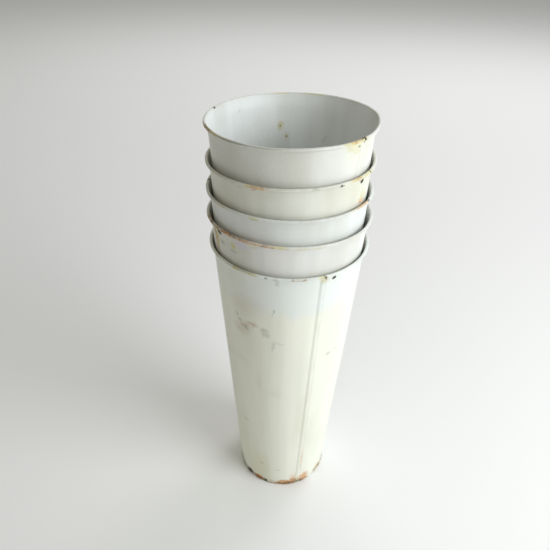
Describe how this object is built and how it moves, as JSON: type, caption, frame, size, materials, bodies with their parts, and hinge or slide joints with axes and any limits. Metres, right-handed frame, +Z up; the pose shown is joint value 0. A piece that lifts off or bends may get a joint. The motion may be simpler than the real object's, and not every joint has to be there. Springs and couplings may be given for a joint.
{
  "type": "nested flower buckets",
  "caption": "Tall tapered sheet-steel flower buckets with rolled rims and folded side seams, nested in a stack, in chipped white paint with rust.",
  "frame": {"origin": "centre of the bottom bucket's foot, on the surface that it stands on", "axes": "+Z up along the buckets' axis, -Y towards the side of the bottom bucket with its seam"},
  "size_m": [0.2174, 0.2161, 0.6145],
  "materials": {
    "bucket_1_paint": "old brush paint, warm white with a grey cast, satin, rust along the rim",
    "bucket_2_paint": "old brush paint, cream white, satin, chips and rust along the rim",
    "bucket_3_paint": "old brush paint, bluish white, satin, a few chips along the rim",
    "bucket_4_paint": "old brush paint, cream white, satin, heavy rust along the front of the rim",
    "bucket_5_paint": "old brush paint, cream white with a bluish band under the rim, satin, smudges, heavy rust round the foot",
    "rim_wire_steel": "dull drawn steel wire, rust-stained"
  },
  "bodies": {
    "bucket_5": {"bucket_5_wall": "bucket_5_paint", "bucket_5_rim_wire": "rim_wire_steel", "bucket_5_base": "bucket_5_paint"},
    "bucket_4": {"bucket_4_wall": "bucket_4_paint", "bucket_4_rim_wire": "rim_wire_steel", "bucket_4_base": "bucket_4_paint"},
    "bucket_3": {"bucket_3_wall": "bucket_3_paint", "bucket_3_rim_wire": "rim_wire_steel", "bucket_3_base": "bucket_3_paint"},
    "bucket_2": {"bucket_2_wall": "bucket_2_paint", "bucket_2_rim_wire": "rim_wire_steel", "bucket_2_base": "bucket_2_paint"},
    "bucket_1": {"bucket_1_wall": "bucket_1_paint", "bucket_1_rim_wire": "rim_wire_steel", "bucket_1_base": "bucket_1_paint"}
  },
  "joints": [
    {"name": "lift_bucket_4", "type": "slide", "parent": "bucket_5", "child": "bucket_4", "axis": [0, 0, 1], "range_m": [0, 0.42]},
    {"name": "lift_bucket_3", "type": "slide", "parent": "bucket_4", "child": "bucket_3", "axis": [0, 0, 1], "range_m": [0, 0.426]},
    {"name": "lift_bucket_2", "type": "slide", "parent": "bucket_3", "child": "bucket_2", "axis": [0, 0, 1], "range_m": [0, 0.424]},
    {"name": "lift_bucket_1", "type": "slide", "parent": "bucket_2", "child": "bucket_1", "axis": [0, 0, 1], "range_m": [0, 0.416]}
  ]
}
